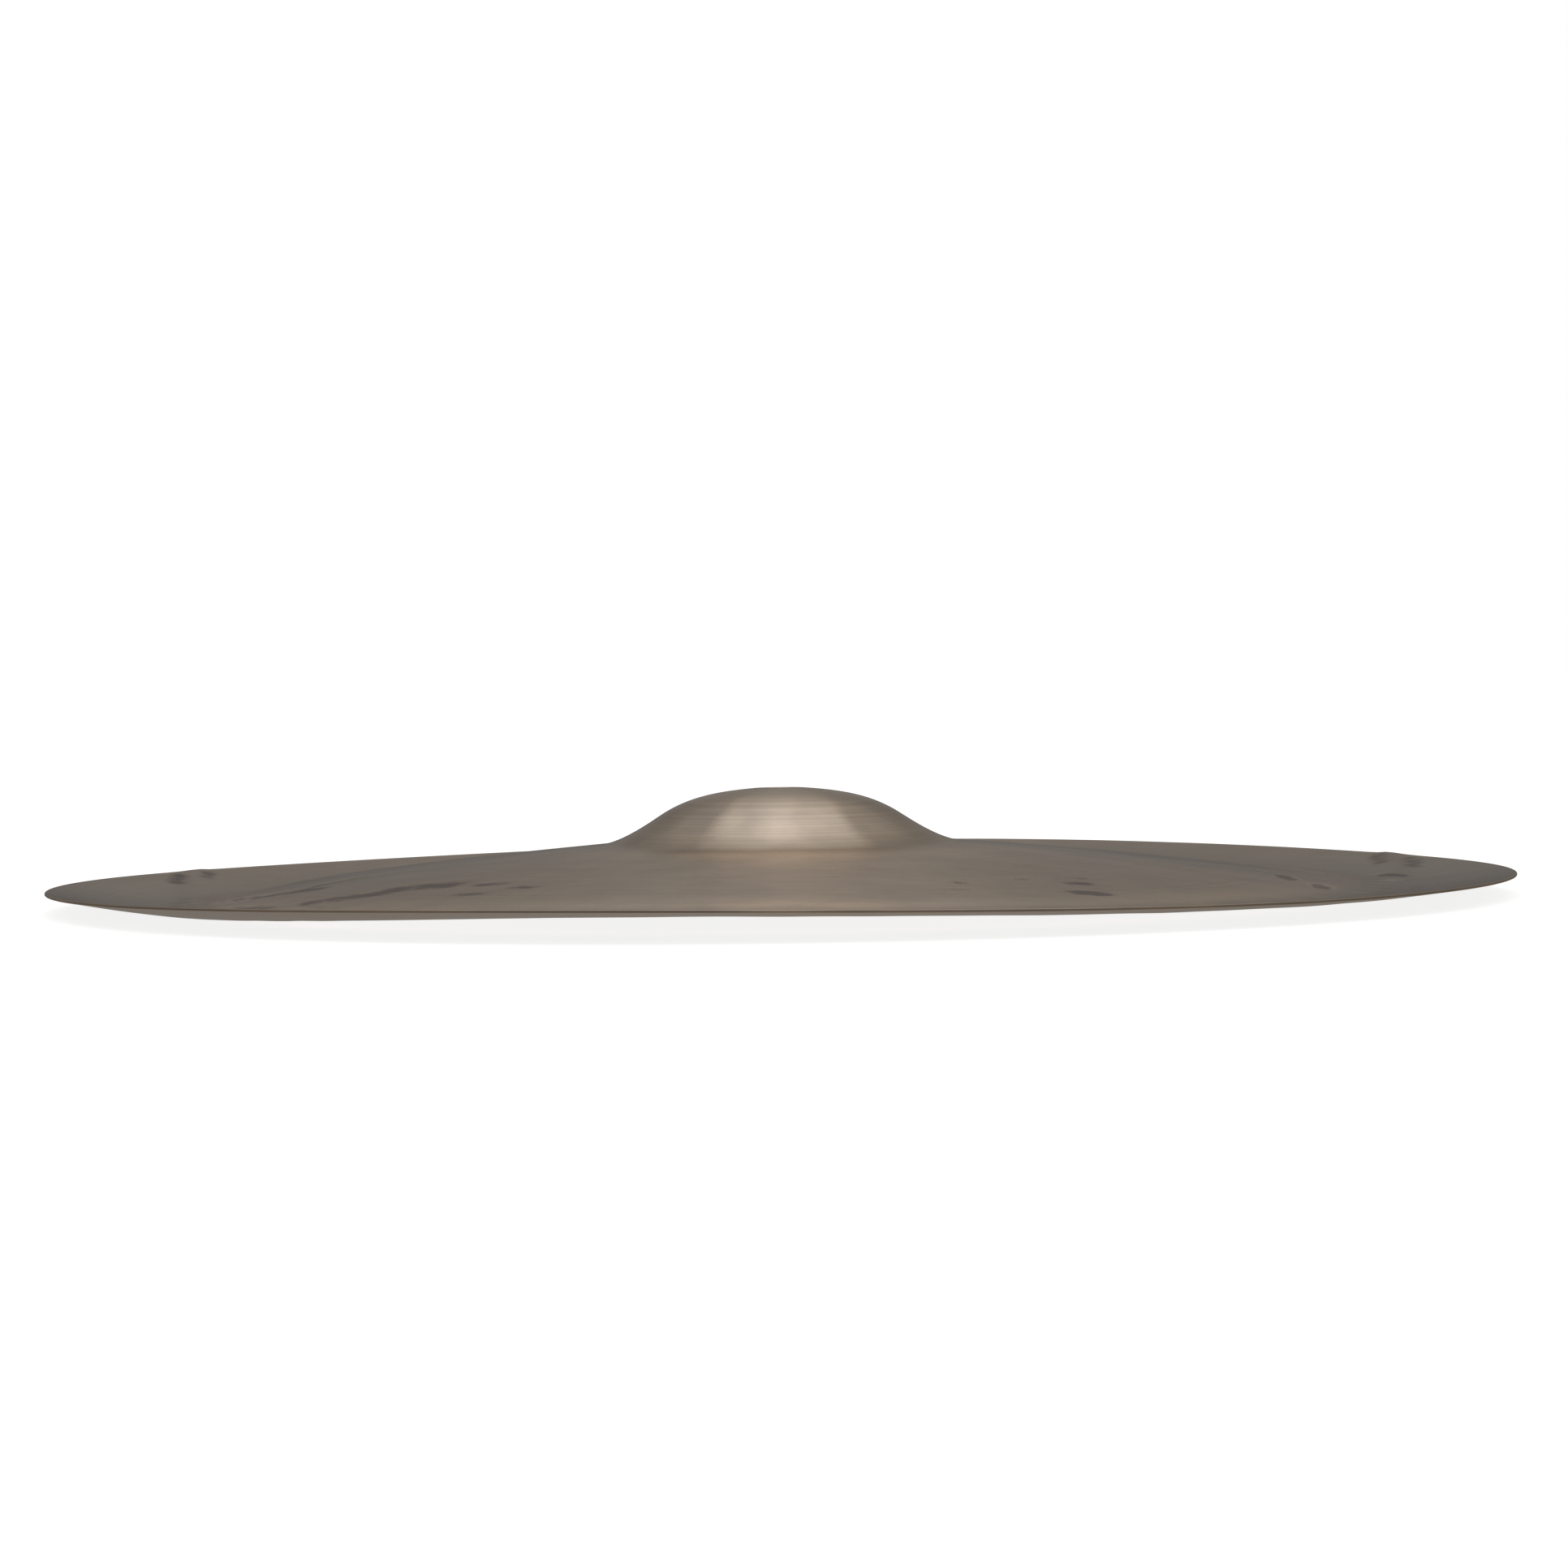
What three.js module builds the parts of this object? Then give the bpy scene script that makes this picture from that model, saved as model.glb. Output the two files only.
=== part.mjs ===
// A china cymbal: one disc of tin bronze, cast, hammered to shape and turned on a lathe.
// From the middle outwards it has a round hole, a flat land that the felts press on, a raised bell,
// a long bow, a narrow fold that turns the metal up again, and a flared rim.
// Sizes are in millimetres, +Z is up and the front is -Y.
// The origin is on the axis, level with the lowest point of the fold's underside.
import * as THREE from 'three';

// Sizes across the disc
const cymbal_diameter = 508;
const rim_width = 46;
const fold_width = 14;
const bell_diameter = 128;
const hole_diameter = 12;
const land_width = 3;

// Heights of the upper surface: the bell over its foot, the foot over the fold, the rim over the fold
const bell_height = 19.3;
const bow_height = 15.7;
const rim_height = 4.6;

// The wall thins evenly from the land to the rim
const hole_thickness = 1.5;
const rim_thickness = 0.9;

// Hammering by hand leaves the disc out of true. Its rim is a slight saddle with a finer ripple. Its fold
// lies lower at the sides than at the front and back, and a little lower at the left than at the right.
const rim_saddle_lift = 1.4;
const rim_ripple_lift = 0.5;
const fold_saddle_lift = 1.4;
const fold_tilt_lift = 1.2;
const fold_wobble_reach = 30;

// Where each wobble has its first crest, as a bearing counted from the front towards +X
const rim_saddle_bearing = THREE.MathUtils.degToRad(-19);
const rim_ripple_bearing = THREE.MathUtils.degToRad(-12);
const fold_saddle_bearing = THREE.MathUtils.degToRad(0);
const fold_tilt_bearing = THREE.MathUtils.degToRad(90);

// The slopes at both ends of the bow and of the rim, as shares of their average slopes
const bow_foot_slope_share = 0.7;
const bow_fold_slope_share = 1.3;
const rim_fold_slope_share = 0.6;
const rim_edge_slope_share = 1.4;

// The bell's shoulder and the handles of its curves, as shares of its radius and of its height
const dome_handle_shares = [[0.36, 0.943], [0.51, 0.839]];
const shoulder_shares = [0.653, 0.528];
const flank_handle_shares = [0.723, 0.378];
const foot_handle_radius_share = 0.875;

// Radii worked out from the sizes across
const rim_radius = cymbal_diameter / 2;
const fold_radius = rim_radius - rim_width;
const bell_radius = bell_diameter / 2;
const hole_radius = hole_diameter / 2;
const land_radius = hole_radius + land_width;

// Slopes, as rise over run going outwards
const bow_average_slope = -bow_height / (fold_radius - bell_radius);
const bow_foot_slope = bow_foot_slope_share * bow_average_slope;
const bow_fold_slope = bow_fold_slope_share * bow_average_slope;
const rim_average_slope = rim_height / rim_width;
const rim_fold_slope = rim_fold_slope_share * rim_average_slope;
const rim_edge_slope = rim_edge_slope_share * rim_average_slope;

// Gives the point where two straight lines meet, each through a point at a slope.
function meet(start, start_slope, end, end_slope) {
  const rise = end.y - start.y + start_slope * start.x - end_slope * end.x;
  const radius = rise / (start_slope - end_slope);
  return new THREE.Vector2(radius, start.y + start_slope * (radius - start.x));
}

// Gives the curve between two points that leaves the first at one slope and reaches the second at another.
function bend(start, start_slope, end, end_slope) {
  return new THREE.QuadraticBezierCurve(start, meet(start, start_slope, end, end_slope), end);
}

// Gives a point of the bell's profile from its shares of the bell's radius and height.
function on_bell([radius_share, height_share]) {
  return new THREE.Vector2(radius_share * bell_radius, bow_height + height_share * bell_height);
}

// The upper surface as curves from the hole to the rim. A point holds a radius and a height over the fold.
function upper_curves() {
  const crown = bow_height + bell_height;
  const hole_edge = new THREE.Vector2(hole_radius, crown);
  const land_edge = new THREE.Vector2(land_radius, crown);
  const shoulder = on_bell(shoulder_shares);
  const bell_foot = new THREE.Vector2(bell_radius, bow_height);
  const foot_handle_radius = foot_handle_radius_share * bell_radius;
  const foot_handle_height = bow_height + bow_foot_slope * (foot_handle_radius - bell_radius);
  const foot_handle = new THREE.Vector2(foot_handle_radius, foot_handle_height);

  const half_fold = fold_width / 2;
  const crease = new THREE.Vector2(fold_radius, 0);
  const fold_inside = new THREE.Vector2(fold_radius - half_fold, -bow_fold_slope * half_fold);
  const fold_outside = new THREE.Vector2(fold_radius + half_fold, rim_fold_slope * half_fold);
  const rim_lean = Math.atan(rim_edge_slope);
  const rim_top_radius = rim_radius - (rim_thickness / 2) * (1 + Math.sin(rim_lean));
  const rim_top = new THREE.Vector2(rim_top_radius, rim_height);

  return [
    { curve: new THREE.LineCurve(hole_edge, land_edge), steps: 1 },
    { curve: new THREE.CubicBezierCurve(land_edge, ...dome_handle_shares.map(on_bell), shoulder), steps: 7 },
    { curve: new THREE.CubicBezierCurve(shoulder, on_bell(flank_handle_shares), foot_handle, bell_foot), steps: 6 },
    { curve: bend(bell_foot, bow_foot_slope, fold_inside, bow_fold_slope), steps: 5 },
    { curve: new THREE.QuadraticBezierCurve(fold_inside, crease, fold_outside), steps: 5 },
    { curve: bend(fold_outside, rim_fold_slope, rim_top, rim_edge_slope), steps: 3 },
  ];
}

// Follows the curves and gives each point of the upper surface with the direction straight out of it.
function upper_points() {
  const up = new THREE.Vector2(0, 1);
  const points = [{ place: new THREE.Vector2(hole_radius, bow_height + bell_height), out: up }];
  for (const { curve, steps } of upper_curves()) {
    for (let step = 1; step <= steps; step += 1) {
      const along = curve.getTangent(step / steps);
      points.push({ place: curve.getPoint(step / steps), out: new THREE.Vector2(-along.y, along.x) });
    }
  }
  return points;
}

// Gives the wall's thickness at a radius. It is even across the land, so both sides of the land are flat.
function thickness_at(radius) {
  const share = Math.max(radius - land_radius, 0) / (rim_radius - land_radius);
  return THREE.MathUtils.lerp(hole_thickness, rim_thickness, share);
}

// The outline of the disc's cross-section: outwards along the underside, round the edge and back in on top.
function outline() {
  const upper = upper_points();
  const top = upper.map(({ place }) => place);
  const underside = upper.map(({ place, out }) => place.clone().addScaledVector(out, -thickness_at(place.x)));
  const rim = upper[upper.length - 1];
  const edge_radius = thickness_at(rim.place.x) / 2;
  const edge_centre = rim.place.clone().addScaledVector(rim.out, -edge_radius);
  const edge_steps = 4;
  const edge = [];
  for (let step = 1; step < edge_steps; step += 1) {
    const spoke = rim.out.clone().rotateAround(new THREE.Vector2(), Math.PI * (step / edge_steps - 1));
    edge.push(edge_centre.clone().addScaledVector(spoke, edge_radius));
  }
  return [...underside, ...edge, ...top.reverse(), underside[0].clone()];
}

// Gives a wave round the disc: its height at a bearing, from its crest's height, its number of crests and
// the bearing of its first crest.
function wave(lift, crests, first_crest, bearing) {
  return lift * Math.cos(crests * (bearing - first_crest));
}

// Gives how far hammering has lifted the metal at a radius and a bearing. The rim's wobbles ease out from
// the bell's foot, and the fold's are strongest at the fold.
function lift_at(radius, bearing) {
  const inner_share = THREE.MathUtils.clamp((rim_radius - radius) / (rim_radius - bell_radius), 0, 1);
  const rim_saddle = wave(rim_saddle_lift, 2, rim_saddle_bearing, bearing);
  const rim_ripple = wave(rim_ripple_lift, 4, rim_ripple_bearing, bearing);
  const fold_saddle = wave(fold_saddle_lift, 2, fold_saddle_bearing, bearing);
  const fold_tilt = wave(fold_tilt_lift, 1, fold_tilt_bearing, bearing);
  const fold_strength = Math.exp(-(((radius - fold_radius) / fold_wobble_reach) ** 2));
  return (1 - inner_share ** 2) * (rim_saddle + rim_ripple) + fold_strength * (fold_saddle + fold_tilt);
}

// Turns the outline round the axis, puts it out of true and sets it down on its lowest point.
function disc_geometry() {
  const segments_round = 80;
  const geometry = new THREE.LatheGeometry(outline(), segments_round);
  geometry.rotateX(Math.PI / 2);
  const places = geometry.attributes.position;
  for (let index = 0; index < places.count; index += 1) {
    const x = places.getX(index);
    const y = places.getY(index);
    const lift = lift_at(Math.hypot(x, y), Math.atan2(x, -y));
    places.setZ(index, places.getZ(index) + lift);
  }
  geometry.computeBoundingBox();
  geometry.translate(0, 0, -geometry.boundingBox.min.z);
  geometry.computeVertexNormals();
  return geometry;
}

const bronze = new THREE.MeshStandardMaterial({ color: 0x857b70, roughness: 0.42, metalness: 0.9 });

const cymbal_disc = new THREE.Mesh(disc_geometry(), bronze);
cymbal_disc.name = 'cymbal_disc';

const china_cymbal = new THREE.Group();
china_cymbal.add(cymbal_disc);

export default china_cymbal;
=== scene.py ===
import math

import bpy
import numpy
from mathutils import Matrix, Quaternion, Vector, noise


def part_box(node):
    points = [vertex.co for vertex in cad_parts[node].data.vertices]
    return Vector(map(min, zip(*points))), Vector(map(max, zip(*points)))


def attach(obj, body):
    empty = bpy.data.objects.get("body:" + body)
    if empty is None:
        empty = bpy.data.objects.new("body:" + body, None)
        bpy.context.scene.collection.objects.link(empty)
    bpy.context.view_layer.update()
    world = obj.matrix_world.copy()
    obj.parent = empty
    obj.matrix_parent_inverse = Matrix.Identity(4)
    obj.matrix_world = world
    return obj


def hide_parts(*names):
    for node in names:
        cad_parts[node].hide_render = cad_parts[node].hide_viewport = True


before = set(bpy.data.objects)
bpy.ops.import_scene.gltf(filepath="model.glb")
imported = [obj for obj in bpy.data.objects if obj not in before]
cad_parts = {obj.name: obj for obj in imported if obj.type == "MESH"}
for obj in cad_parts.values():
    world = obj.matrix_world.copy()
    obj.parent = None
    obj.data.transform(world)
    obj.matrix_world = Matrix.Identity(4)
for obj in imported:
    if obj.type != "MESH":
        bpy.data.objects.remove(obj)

bpy.ops.object.select_all(action="DESELECT")
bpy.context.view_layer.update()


# The camera
# A long lens, 1.8 m away on the side of the -Y axis and a little above the rim. It was leaned a little, so
# that the right end of the cymbal stands higher in the picture.
photo_pixels = 1932
lens_pixels = 6366
sensor_width = 36.0
camera_distance = 1.8
camera_elevation = math.radians(2.706)
camera_lean = 0.0135

# The camera was sighted on a point of the cymbal's axis, which lands on this pixel of the photograph
sighted_depth_below_crown = 0.0304
sighted_pixel_across = 962.07
sighted_pixel_down = 1078.13

crown_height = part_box("cymbal_disc")[1].z
sighted_point = Vector((0, 0, crown_height - sighted_depth_below_crown))
toward_camera = Vector((0, -math.cos(camera_elevation), math.sin(camera_elevation)))

bpy.ops.object.camera_add(location=sighted_point + camera_distance * toward_camera)
camera = bpy.context.object
camera.data.sensor_width = sensor_width
camera.data.lens = sensor_width * lens_pixels / photo_pixels
camera.data.clip_start = 0.01
lean = Quaternion((0, 0, 1), -camera_lean)
leaned_aim = (-toward_camera).to_track_quat("-Z", "Y") @ lean
pixels_across = photo_pixels / 2 - sighted_pixel_across
pixels_up = sighted_pixel_down - photo_pixels / 2
picture_middle = leaned_aim @ Vector((pixels_across, pixels_up, -lens_pixels))
camera.rotation_mode = "QUATERNION"
camera.rotation_quaternion = picture_middle.to_track_quat("-Z", "Y") @ lean
bpy.context.scene.camera = camera


# The disc
# One disc of tin bronze, cast, hammered to shape and turned on a lathe. From the middle outwards it has a
# hole, a flat land, a bell, a long bow, a narrow fold that turns the metal up again, and a flared rim.
# It is modelled the same way: a section line is spun round the axis, hammered, and given its wall.
rim_radius = 0.254
fold_radius = 0.208
fold_half_width = 0.007
bell_radius = 0.064
land_radius = 0.009
hole_radius = 0.006
bell_height = 0.0193
bow_height = 0.0157
rim_height = 0.0046
hole_wall = 0.0015
rim_wall = 0.0009

# The slopes at both ends of the bow and of the rim, as shares of their average slopes
bow_foot_slope_share = 0.7
bow_fold_slope_share = 1.3
rim_fold_slope_share = 0.6
rim_edge_slope_share = 1.4

# The bell's shoulder and the handles of its curves, as shares of its radius and of its height
crown_handle_shares = (0.36, 0.943)
dome_handle_shares = (0.51, 0.839)
shoulder_shares = (0.653, 0.528)
flank_handle_shares = (0.723, 0.378)
foot_handle_radius_share = 0.875

bow_average_slope = -bow_height / (fold_radius - bell_radius)
bow_foot_slope = bow_foot_slope_share * bow_average_slope
bow_fold_slope = bow_fold_slope_share * bow_average_slope
rim_average_slope = rim_height / (rim_radius - fold_radius)
rim_fold_slope = rim_fold_slope_share * rim_average_slope
rim_edge_slope = rim_edge_slope_share * rim_average_slope

# Heights are drawn over the fold's crease, and this lifts them to where the CAD disc is
crease_height = crown_height - bow_height - bell_height


def on_section(radius, height):
    """A point of the section line, from its radius and its height over the fold's crease."""
    return Vector((radius, 0, crease_height + height))


def on_bell(radius_share, height_share):
    """A point of the bell's section from its shares of the bell's radius and height."""
    return on_section(radius_share * bell_radius, bow_height + height_share * bell_height)


def where_slopes_meet(start, start_slope, end, end_slope):
    """The point where two lines of the section meet, each through a point at a slope."""
    rise = end.z - start.z + start_slope * start.x - end_slope * end.x
    radius = rise / (start_slope - end_slope)
    return Vector((radius, 0, start.z + start_slope * (radius - start.x)))


def draw_stretch(start, start_handle, end_handle, end, steps):
    """Draws one stretch of the section as a Bezier curve and turns it into edges."""
    bpy.ops.curve.primitive_bezier_curve_add()
    stretch = bpy.context.object
    spline = stretch.data.splines[0]
    spline.resolution_u = steps
    first, last = spline.bezier_points
    for point in (first, last):
        point.handle_left_type = "FREE"
        point.handle_right_type = "FREE"
    first.co, first.handle_left, first.handle_right = start, start, start_handle
    last.co, last.handle_left, last.handle_right = end, end_handle, end
    bpy.ops.object.convert(target="MESH")
    return stretch


def draw_line(start, end, steps):
    """Draws a straight stretch."""
    return draw_stretch(start, start.lerp(end, 1 / 3), start.lerp(end, 2 / 3), end, steps)


def draw_bend(start, corner, end, steps):
    """Draws a stretch that leaves its start and reaches its end in line with one corner point."""
    return draw_stretch(start, start.lerp(corner, 2 / 3), end.lerp(corner, 2 / 3), end, steps)


land_edge = on_section(land_radius, bow_height + bell_height)
hole_edge = on_section(hole_radius, bow_height + bell_height)
shoulder = on_bell(*shoulder_shares)
bell_foot = on_section(bell_radius, bow_height)
foot_handle_radius = foot_handle_radius_share * bell_radius
foot_handle = on_section(foot_handle_radius, bow_height + bow_foot_slope * (foot_handle_radius - bell_radius))
crease = on_section(fold_radius, 0)
fold_inside = on_section(fold_radius - fold_half_width, -bow_fold_slope * fold_half_width)
fold_outside = on_section(fold_radius + fold_half_width, rim_fold_slope * fold_half_width)
rim_lean = math.atan(rim_edge_slope)
rim_top = on_section(rim_radius - rim_wall / 2 * math.sin(rim_lean), rim_height)
bow_corner = where_slopes_meet(bell_foot, bow_foot_slope, fold_inside, bow_fold_slope)
rim_corner = where_slopes_meet(fold_outside, rim_fold_slope, rim_top, rim_edge_slope)

stretches = [
    draw_line(hole_edge, land_edge, steps=3),
    draw_stretch(land_edge, on_bell(*crown_handle_shares), on_bell(*dome_handle_shares), shoulder, steps=28),
    draw_stretch(shoulder, on_bell(*flank_handle_shares), foot_handle, bell_foot, steps=20),
    draw_bend(bell_foot, bow_corner, fold_inside, steps=66),
    draw_bend(fold_inside, crease, fold_outside, steps=12),
    draw_bend(fold_outside, rim_corner, rim_top, steps=20),
]
for stretch in stretches:
    stretch.select_set(True)
bpy.ops.object.join()
disc = bpy.context.object
disc.name = "hammered_disc"
disc.data.name = "hammered_disc"
bpy.ops.object.transform_apply()

# The section is spun once round the axis, and turned the right way out if the spin left it inside out
steps_round = 300
merge_distance = 1e-6
bpy.ops.object.mode_set(mode="EDIT")
bpy.ops.mesh.select_all(action="SELECT")
bpy.ops.mesh.remove_doubles(threshold=merge_distance)
bpy.ops.mesh.select_all(action="SELECT")
bpy.ops.mesh.spin(steps=steps_round, angle=2 * math.pi, center=(0, 0, 0), axis=(0, 0, 1))
bpy.ops.mesh.select_all(action="SELECT")
bpy.ops.mesh.remove_doubles(threshold=merge_distance)
bpy.ops.mesh.normals_make_consistent(inside=False)
bpy.ops.object.mode_set(mode="OBJECT")
if sum(face.normal.z for face in disc.data.polygons) < 0:
    bpy.ops.object.mode_set(mode="EDIT")
    bpy.ops.mesh.flip_normals()
    bpy.ops.object.mode_set(mode="OBJECT")

# Hammering leaves it out of true: a slight saddle with a finer ripple at the rim, and a fold that lies
# lower at the sides. Bearings count from the front towards +X.
rim_saddle_lift = 0.0014
rim_saddle_bearing = math.radians(-19)
rim_ripple_lift = 0.0005
rim_ripple_bearing = math.radians(-12)
fold_saddle_lift = 0.0014
fold_saddle_bearing = 0
fold_tilt_lift = 0.0012
fold_tilt_bearing = math.radians(90)
fold_wobble_reach = 0.030

place = numpy.empty(3 * len(disc.data.vertices))
disc.data.vertices.foreach_get("co", place)
place = place.reshape(-1, 3)
radius = numpy.hypot(place[:, 0], place[:, 1])
bearing = numpy.arctan2(place[:, 0], -place[:, 1])


def wave(lift, crests, first_crest):
    """A wave round the disc, from its height, its number of crests and the bearing of its first crest."""
    return lift * numpy.cos(crests * (bearing - first_crest))


rim_wobble = wave(rim_saddle_lift, 2, rim_saddle_bearing) + wave(rim_ripple_lift, 4, rim_ripple_bearing)
fold_wobble = wave(fold_saddle_lift, 2, fold_saddle_bearing) + wave(fold_tilt_lift, 1, fold_tilt_bearing)
inner_share = numpy.clip((rim_radius - radius) / (rim_radius - bell_radius), 0, 1)
fold_strength = numpy.exp(-(((radius - fold_radius) / fold_wobble_reach) ** 2))
place[:, 2] += (1 - inner_share**2) * rim_wobble + fold_strength * fold_wobble

# Rows of shallow hammer marks, struck from above, and one close row that was struck from below along the
# fold. A row has its radius and its number of blows. Each blow lands a little off its place.
wide_rows = [(0.084, 22), (0.103, 27), (0.122, 32), (0.141, 37), (0.160, 42), (0.179, 47), (0.232, 60)]
wide_depth = 0.00016
wide_width = 0.012
fold_rows = [(0.207, 64)]
fold_depth = -0.00025
fold_width = 0.006
spacing_error = 0.3
softest_blow = 0.4
hardest_blow = 1.3
scatter = numpy.random.default_rng(20)


def hammer(rows, mark_depth, mark_width):
    """Strikes rows of round marks. A mark that is struck from below has a negative depth."""
    for row_radius, count in rows:
        row_start = scatter.uniform(0, 2 * math.pi)
        for number in range(count):
            turn = 2 * math.pi * (number + scatter.uniform(-spacing_error, spacing_error)) / count
            mark_bearing = row_start + turn
            mark_radius = row_radius + scatter.uniform(-mark_width / 2, mark_width / 2)
            depth = mark_depth * scatter.uniform(softest_blow, hardest_blow)
            middle = mark_radius * numpy.array([math.sin(mark_bearing), -math.cos(mark_bearing)])
            distance = numpy.hypot(place[:, 0] - middle[0], place[:, 1] - middle[1])
            place[:, 2] -= depth * numpy.exp(-((distance / mark_width) ** 2))


hammer(wide_rows, wide_depth, wide_width)
hammer(fold_rows, fold_depth, fold_width)


def stroke(start, end, width):
    """How much of each point lies on a stroke between two points, from 0 to 1. A point is given as radius in
    millimetres and bearing in degrees, and the width is in millimetres."""
    ends = []
    for mark_radius, mark_bearing in (start, end):
        turn = math.radians(mark_bearing)
        ends.append(mark_radius / 1000 * numpy.array([math.sin(turn), -math.cos(turn)]))
    run = ends[1] - ends[0]
    share = numpy.clip(((place[:, :2] - ends[0]) @ run) / (run @ run), 0, 1)
    distance = numpy.linalg.norm(place[:, :2] - ends[0] - share[:, None] * run, axis=1)
    return numpy.exp(-((distance / (width / 1000)) ** 2))


# Two low kinks cross the rim, one near each end, where the fold was pressed. Each has its two ends, its
# width and its height in metres.
kinks = [
    ((254, 117.5), (214, 92), 5, 0.00055),
    ((254, -121), (205, -92), 5, 0.00040),
]
for start, end, width, height in kinks:
    place[:, 2] += height * stroke(start, end, width)

# The lathe's blade skipped some deeper marks and slid over others, and left the dark skin of the casting
# in them. Each has its two ends, its width and its strength. Up to a strength of 1 a mark gets deeper and
# darker, and past it only darker. The first group is on the right of the front and the second on the left,
# and the last ones of each lie round its kink, where their dark colour is painted shadow of the kink. Three
# on the left, marked below, are painted shade along the near fold.
right_marks = [
    ((172, 34.4), (174.5, 35.4), 5.8, 1.9),
    ((153, 38), (154.5, 39.6), 3.8, 1.5),
    ((146, 23), (148, 23.6), 3.5, 1.0),
    ((159, 20), (160, 21.2), 3.5, 1.1),
    ((142, 33.2), (143, 34.2), 3.5, 0.8),
    ((144, 41.6), (145.5, 42.6), 3.0, 0.8),
    ((175.3, 78.8), (178.8, 74.1), 3.6, 2.0),
    ((190.5, 72.4), (194.5, 69), 3.6, 2.0),
    ((165, 84), (166.5, 84.5), 3.0, 1.0),
    ((219.5, 96), (218.5, 99.5), 4.2, 1.7),
    # From here on the marks lie round the kink, and their dark colour is painted shadow of the kink
    ((251, 118), (236, 111.5), 4.0, 1.0),
    ((249, 112), (236, 105), 4.5, 0.9),
    ((212, 113), (212, 116), 4.0, 0.5),
    ((218, 89), (218, 92), 3.5, 0.5),
]
left_marks = [
    ((193, -80), (176, -72.5), 11.0, 0.6),
    ((182, -58), (152, -47.5), 13.0, 0.6),
    ((193, -82), (183, -76), 4.5, 1.3),
    ((183, -76), (166, -70.5), 4.5, 1.5),
    ((171, -73.5), (147, -78), 3.5, 1.3),
    # This mark and the next are painted shade along the near fold
    ((197, -68), (194, -62), 6.0, 1.2),
    ((199, -53), (198, -48), 4.0, 0.9),
    ((183, -57), (169, -52.5), 8.0, 1.3),
    ((169, -52.5), (157, -52), 8.0, 1.4),
    ((157, -52), (151, -47), 9.0, 1.4),
    ((149, -41), (147, -39), 4.0, 1.4),
    ((154.5, -34), (154, -31.5), 3.5, 1.1),
    ((168, -38), (166, -36), 4.0, 1.3),
    ((144, -49), (140, -46), 4.0, 0.6),
    # Painted shade along the near fold
    ((199, -74), (193, -46), 4.0, 0.7),
    # These two are painted shadows of the kink
    ((248, -116.5), (237, -111.5), 4.0, 1.1),
    ((248, -120.8), (240, -117.8), 3.5, 1.0),
]

# The photograph doesn't show the back, and a few more marks are scattered over it. Their ranges go from the
# least to the most, and their two ends lie a short way out or in and a short way round from each other.
back_mark_count = 14
back_radii = (85, 195)
back_bearings = (110, 250)
way_out = (-5, 5)
way_round = (1, 4)
back_widths = (3, 6)
back_strengths = (0.4, 1.0)
back_marks = []
for number in range(back_mark_count):
    start = (scatter.uniform(*back_radii), scatter.uniform(*back_bearings))
    end = (start[0] + scatter.uniform(*way_out), start[1] + scatter.uniform(*way_round))
    back_marks.append((start, end, scatter.uniform(*back_widths), scatter.uniform(*back_strengths)))

skipped_depth = 0.00008
# This mask holds the casting skin and also the painted shade round the kinks and along the near fold
skin_and_painted_shade = numpy.zeros(len(place))
for start, end, width, mark_strength in right_marks + left_marks + back_marks:
    strength = mark_strength * stroke(start, end, width)
    place[:, 2] -= skipped_depth * numpy.minimum(strength, 1)
    skin_and_painted_shade = numpy.maximum(skin_and_painted_shade, strength)

# The blade's cut is never quite even, so the turned face has fine rings that stand proud or lie deep
ring_pitch = 0.0030
noise_steps_per_ring = 2
bell_ring_depth = 0.000026
bow_ring_depth = 0.00002
ring_depth = numpy.where(radius < bell_radius, bell_ring_depth, bow_ring_depth)
along_noise = radius / ring_pitch * noise_steps_per_ring
rings = numpy.array([noise.noise(Vector((along, 0, 0))) for along in along_noise])
place[:, 2] += numpy.where(radius > land_radius, ring_depth * rings, 0)

disc.data.vertices.foreach_set("co", place.ravel())
disc.data.update()
skin_and_shade_attribute = disc.data.attributes.new("casting_skin_and_painted_shade", "FLOAT", "POINT")
skin_and_shade_attribute.data.foreach_set("value", skin_and_painted_shade)

# The wall hangs below the upper face and thins evenly from the land to the rim
wall_share = numpy.clip((rim_radius - radius) / (rim_radius - land_radius), 0, 1)
wall_group = disc.vertex_groups.new(name="wall")
for index, share in enumerate(wall_share):
    wall_group.add([index], float(share), "REPLACE")
wall = disc.modifiers.new("wall", "SOLIDIFY")
wall.thickness = hole_wall
wall.offset = -1
wall.vertex_group = wall_group.name
wall.thickness_vertex_group = rim_wall / hole_wall
wall.use_even_offset = True
wall.use_rim = True
bpy.ops.object.modifier_apply(modifier=wall.name)

# The rim's edge is rounded and the hole's edges are eased
sharp_edge_angle = math.radians(50)
smooth_face_angle = math.radians(40)
rounded = disc.modifiers.new("rounded", "BEVEL")
rounded.width = 0.0004
rounded.segments = 3
rounded.limit_method = "ANGLE"
rounded.angle_limit = sharp_edge_angle
bpy.ops.object.modifier_apply(modifier=rounded.name)
bpy.ops.object.shade_smooth_by_angle(angle=smooth_face_angle)


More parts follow.
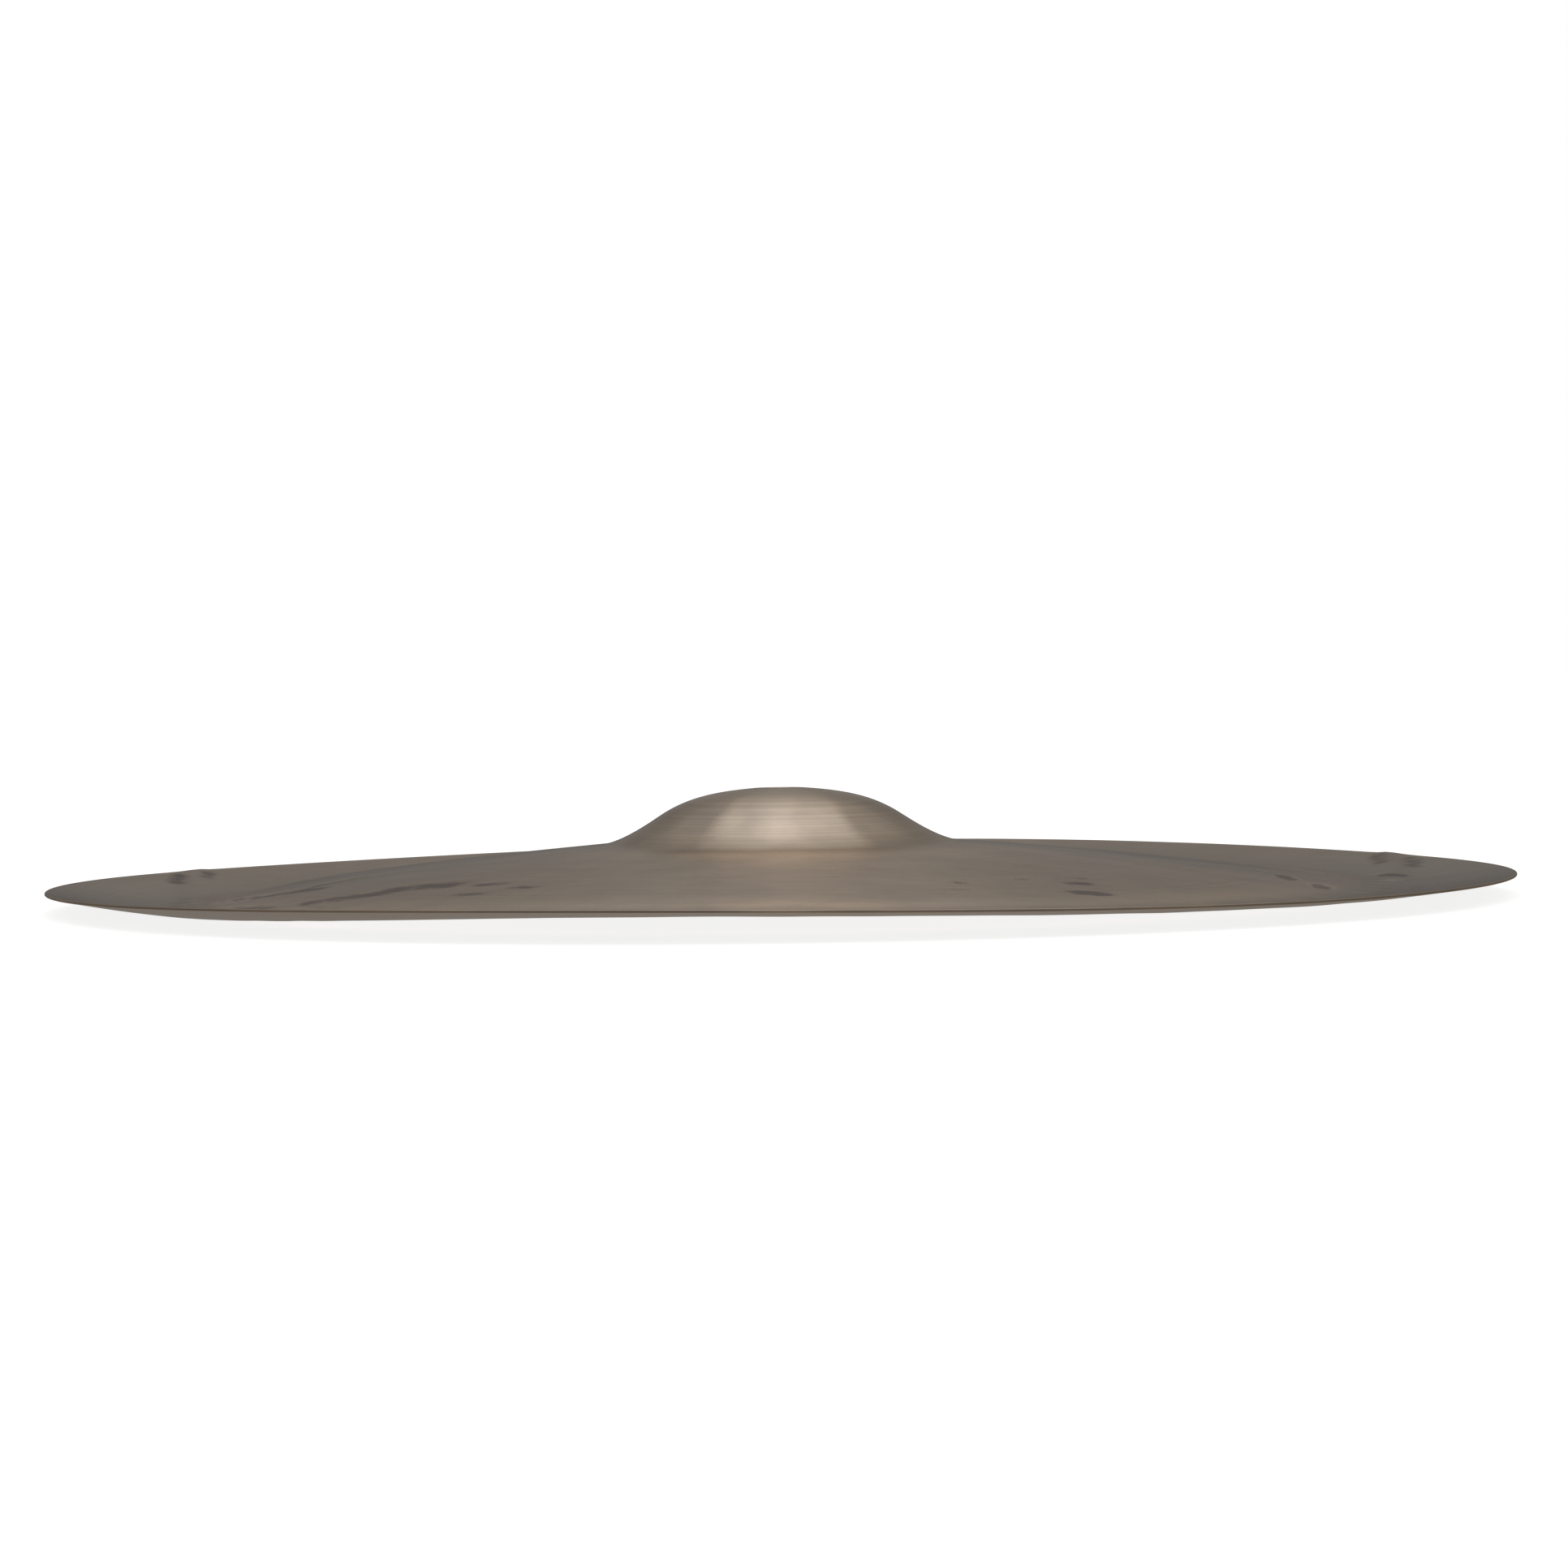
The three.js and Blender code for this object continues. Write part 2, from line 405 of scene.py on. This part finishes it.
def turned_bronze():
    """Bronze with fine turned rings, a dull grey-brown patina, painted light and shade in rings round the
    axis, and dark casting skin in the skipped marks, whose dark colour is also painted as shade round the
    kinks and along the near fold.
    """
    material = bpy.data.materials.new("turned_bronze")
    material.use_nodes = True
    nodes, links = material.node_tree.nodes, material.node_tree.links
    shader = nodes["Principled BSDF"]
    shader.inputs["Anisotropic"].default_value = 1.0
    shader.inputs["Specular Tint"].default_value = (1.0, 0.92, 0.84, 1)
    shader.inputs["Specular IOR Level"].default_value = 0.0

    # Distance from the axis, which every turned ring follows
    coordinates = nodes.new("ShaderNodeTexCoord")
    flat = nodes.new("ShaderNodeVectorMath")
    flat.operation = "MULTIPLY"
    flat.inputs[1].default_value = (1, 1, 0)
    links.new(coordinates.outputs["Object"], flat.inputs[0])
    away = nodes.new("ShaderNodeVectorMath")
    away.operation = "LENGTH"
    links.new(flat.outputs["Vector"], away.inputs[0])
    links.new(flat.outputs["Vector"], shader.inputs["Tangent"])

    def joined(operation, first, second):
        """Two values joined by an operation. Each is another node's output or a plain number."""
        node = nodes.new("ShaderNodeMath")
        node.operation = operation
        for value, socket in zip((first, second), node.inputs):
            if isinstance(value, int):
                socket.default_value = value
            else:
                links.new(value, socket)
        return node.outputs["Value"]

    def ring_noise(rings_per_metre, detail):
        """Noise that only changes with the distance from the axis."""
        texture = nodes.new("ShaderNodeTexNoise")
        texture.noise_dimensions = "1D"
        texture.inputs["Scale"].default_value = 1.0
        texture.inputs["Detail"].default_value = detail
        texture.inputs["Roughness"].default_value = 0.6
        links.new(joined("MULTIPLY", away.outputs["Value"], rings_per_metre), texture.inputs["W"])
        return texture.outputs["Fac"]

    def cloud_noise(patches_per_metre, detail):
        """Soft patches over the face."""
        texture = nodes.new("ShaderNodeTexNoise")
        texture.inputs["Scale"].default_value = patches_per_metre
        texture.inputs["Detail"].default_value = detail
        links.new(coordinates.outputs["Object"], texture.inputs["Vector"])
        return texture.outputs["Fac"]

    def ramp(source, *stops):
        """A colour ramp over the source, from places and colours."""
        node = nodes.new("ShaderNodeValToRGB")
        node.color_ramp.interpolation = "EASE"
        elements = node.color_ramp.elements
        while len(elements) < len(stops):
            elements.new(0.5)
        for element, (position, colour) in zip(elements, stops):
            element.position = position
            element.color = (*colour, 1)
        links.new(source, node.inputs["Fac"])
        return node.outputs["Color"]

    def mixed(kind, factor, first, second):
        """One colour laid over another."""
        node = nodes.new("ShaderNodeMix")
        node.data_type = "RGBA"
        node.blend_type = kind
        if isinstance(factor, float):
            node.inputs["Factor"].default_value = factor
        else:
            links.new(factor, node.inputs["Factor"])
        for colour, socket in ((first, node.inputs["A"]), (second, node.inputs["B"])):
            if isinstance(colour, tuple):
                socket.default_value = (*colour, 1)
            else:
                links.new(colour, socket)
        return node.outputs["Result"]

    def grey(level):
        """A neutral colour. It carries a plain number through a ramp or a mix."""
        return (level, level, level)

    coarse_rings = ring_noise(rings_per_metre=420, detail=3)
    fine_rings = ring_noise(rings_per_metre=1600, detail=2)
    patches = cloud_noise(patches_per_metre=9, detail=4)
    specks = cloud_noise(patches_per_metre=70, detail=3)

    # The metal, in soft patches
    bare = ramp(patches, (0.3, (0.38, 0.34, 0.305)), (0.7, (0.48, 0.41, 0.345)))
    mottle = ramp(specks, (0.3, (0.92, 0.92, 0.93)), (0.7, (1.05, 1.04, 1.03)))
    ring_tint = ramp(coarse_rings, (0.3, (0.86, 0.86, 0.87)), (0.7, grey(1.0)))

    # Painted light and shade by the distance from the axis in metres: painted shade at the bell's foot and a
    # painted highlight just outside it, a little greyer half way out, a painted highlight ring inside the
    # fold, painted shade from the fold to the rim, and a browner tint at the rim's very edge
    painted_light_by_radius = ramp(
        away.outputs["Value"],
        (0.050, (0.92, 0.92, 0.90)),
        (0.060, (0.70, 0.70, 0.68)),
        (0.067, (0.96, 0.95, 0.93)),
        (0.077, (1.20, 1.18, 1.15)),
        (0.095, (0.99, 0.98, 0.97)),
        (0.118, (0.89, 0.875, 0.86)),
        (0.165, (0.92, 0.90, 0.88)),
        (0.195, (1.38, 1.33, 1.26)),
        (0.2035, (0.92, 0.90, 0.88)),
        (0.2075, (0.88, 0.89, 0.90)),
        (0.2120, (0.54, 0.56, 0.58)),
        (0.2520, (0.62, 0.64, 0.66)),
        (0.2535, (0.80, 0.75, 0.69)),
    )
    metal_with_painted_light = mixed("MULTIPLY", 1.0, bare, painted_light_by_radius)
    mottled = mixed("MULTIPLY", 1.0, metal_with_painted_light, mottle)
    ringed = mixed("MULTIPLY", 1.0, mottled, ring_tint)

    # The dark skin isn't metal and is rougher, and its edges are uneven where the blade took some of it off.
    # The same dark colour is painted shade round the kinks and along the near fold.
    skin_and_shade_value = nodes.new("ShaderNodeAttribute")
    skin_and_shade_value.attribute_name = "casting_skin_and_painted_shade"
    uneven_skin_and_shade = joined("MULTIPLY", skin_and_shade_value.outputs["Fac"], cloud_noise(patches_per_metre=150, detail=2))
    skin_and_shade_share = ramp(uneven_skin_and_shade, (0.05, grey(0.0)), (0.66, grey(0.84)))
    skin_and_shade_colour = (0.125, 0.113, 0.118)
    turned_roughness = ramp(patches, (0.2, grey(0.135)), (0.8, grey(0.155)))
    skin_and_shade_roughness = grey(0.35)
    links.new(mixed("MIX", skin_and_shade_share, ringed, skin_and_shade_colour), shader.inputs["Base Color"])
    links.new(mixed("MIX", skin_and_shade_share, grey(1.0), grey(0.0)), shader.inputs["Metallic"])
    links.new(mixed("MIX", skin_and_shade_share, turned_roughness, skin_and_shade_roughness), shader.inputs["Roughness"])

    # The finest turned rings, too fine for the mesh
    bump = nodes.new("ShaderNodeBump")
    bump.inputs["Strength"].default_value = 1.0
    bump.inputs["Distance"].default_value = 0.00005
    links.new(joined("ADD", coarse_rings, fine_rings), bump.inputs["Height"])
    links.new(bump.outputs["Normal"], shader.inputs["Normal"])
    return material


disc.data.materials.clear()
disc.data.materials.append(turned_bronze())
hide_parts("cymbal_disc")
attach(disc, "root")


# The floor
# A plain white table, lit from inside, so that the shadow under the cymbal stays pale. The metal doesn't
# mirror it.
table_size = 14
bpy.ops.mesh.primitive_plane_add(size=table_size)
floor = bpy.context.object
floor.name = "floor"
table = bpy.data.materials.new("white_table")
table.use_nodes = True
table_shader = table.node_tree.nodes["Principled BSDF"]
table_shader.inputs["Base Color"].default_value = (0.4, 0.4, 0.4, 1)
table_shader.inputs["Roughness"].default_value = 1.0
table_shader.inputs["Specular IOR Level"].default_value = 0.0
table_shader.inputs["Emission Color"].default_value = (1, 1, 1, 1)
table_shader.inputs["Emission Strength"].default_value = 0.85
floor.data.materials.append(table)
floor.visible_glossy = False


# The light
# Level panels hang a metre over the table and reach back behind the cymbal: four soft boxes, each narrower
# than the one in front of it, a bright strip under their middle and a wide soft glow above them. The metal
# mirrors them, and mirrors a dim room beyond them.
box_height = 1.0
strip_height = box_height - 0.02
glow_height = box_height + 0.02
warm_white = (1.0, 0.96, 0.92)


def hang_panel(name, left, right, front, back, height, brightness):
    """Hangs a level panel of light that shines down, as bright as a white sheet of that brightness."""
    bpy.ops.object.light_add(type="AREA", location=((left + right) / 2, (front + back) / 2, height))
    light = bpy.context.object
    light.name = name
    light.data.shape = "RECTANGLE"
    light.data.size = right - left
    light.data.size_y = back - front
    light.data.energy = math.pi * (right - left) * (back - front) * brightness
    light.data.color = warm_white
    light.visible_camera = False


# Each panel has its name, its left, right, front and back edges, its height and its brightness
panels = [
    ("soft_box_front", -0.60, 0.64, 0.05, 0.3, box_height, 0.50),
    ("soft_box_middle", -0.42, 0.44, 0.3, 0.6, box_height, 0.55),
    ("soft_box_back", -0.27, 0.32, 0.6, 1.15, box_height, 0.33),
    ("soft_box_far", -0.22, 0.25, 1.15, 1.7, box_height, 0.14),
    ("bright_strip", -0.14, 0.08, 0.05, 1.0, strip_height, 0.07),
    ("soft_glow", -0.85, 0.90, 0.0, 0.7, glow_height, 0.15),
]
for panel in panels:
    hang_panel(*panel)

# The room is darkest level with the cymbal and brighter above and below. A tone's place is 0 straight down,
# 0.5 level and 1 straight up.
room_tones = [
    (0.0, (0.50, 0.47, 0.44)),
    (0.40, (0.39, 0.365, 0.335)),
    (0.5, (0.151, 0.143, 0.135)),
    (0.55, (0.236, 0.225, 0.214)),
    (0.59, (0.320, 0.308, 0.296)),
    (0.63, (0.330, 0.325, 0.315)),
    (0.70, (0.410, 0.400, 0.385)),
    (0.76, (0.540, 0.520, 0.490)),
    (0.83, (0.760, 0.735, 0.690)),
    (0.93, (0.720, 0.700, 0.680)),
    (1.0, (0.950, 0.930, 0.910)),
]

world = bpy.data.worlds.new("room")
bpy.context.scene.world = world
world.use_nodes = True
room_nodes, room_links = world.node_tree.nodes, world.node_tree.links
room_light = room_nodes["Background"]
looking_at = room_nodes.new("ShaderNodeTexCoord")
direction = room_nodes.new("ShaderNodeSeparateXYZ")
room_links.new(looking_at.outputs["Generated"], direction.inputs["Vector"])
upward_share = room_nodes.new("ShaderNodeMapRange")
upward_share.inputs["From Min"].default_value = -1.0
room_links.new(direction.outputs["Z"], upward_share.inputs["Value"])
room_tone = room_nodes.new("ShaderNodeValToRGB")
stops = room_tone.color_ramp.elements
for stop, (position, tone) in zip(stops, room_tones[:2]):
    stop.position = position
    stop.color = (*tone, 1)
for position, tone in room_tones[2:]:
    stops.new(position).color = (*tone, 1)
room_links.new(upward_share.outputs["Result"], room_tone.inputs["Fac"])
room_links.new(room_tone.outputs["Color"], room_light.inputs["Color"])

# Straight behind and in front of the cymbal the room is brighter than to its sides. How far aside a direction
# points goes from 0 to 1.
brighter_up_to = 0.03
dimmer_from = 0.13
side_brightness = 0.77
to_the_side = room_nodes.new("ShaderNodeMath")
to_the_side.operation = "ABSOLUTE"
room_links.new(direction.outputs["X"], to_the_side.inputs[0])
side_tone = room_nodes.new("ShaderNodeMapRange")
side_tone.inputs["From Min"].default_value = brighter_up_to
side_tone.inputs["From Max"].default_value = dimmer_from
side_tone.inputs["To Min"].default_value = 1.0
side_tone.inputs["To Max"].default_value = side_brightness
room_links.new(to_the_side.outputs["Value"], side_tone.inputs["Value"])
room_links.new(side_tone.outputs["Result"], room_light.inputs["Strength"])

# The room shows white to the camera
white_room = room_nodes.new("ShaderNodeBackground")
white_room.inputs["Color"].default_value = (1, 1, 1, 1)
seen_by = room_nodes.new("ShaderNodeLightPath")
shown_room = room_nodes.new("ShaderNodeMixShader")
room_links.new(seen_by.outputs["Is Camera Ray"], shown_room.inputs["Fac"])
room_links.new(room_light.outputs["Background"], shown_room.inputs[1])
room_links.new(white_room.outputs["Background"], shown_room.inputs[2])
room_links.new(shown_room.outputs["Shader"], room_nodes["World Output"].inputs["Surface"])
bpy.context.scene.view_settings.view_transform = "Standard"
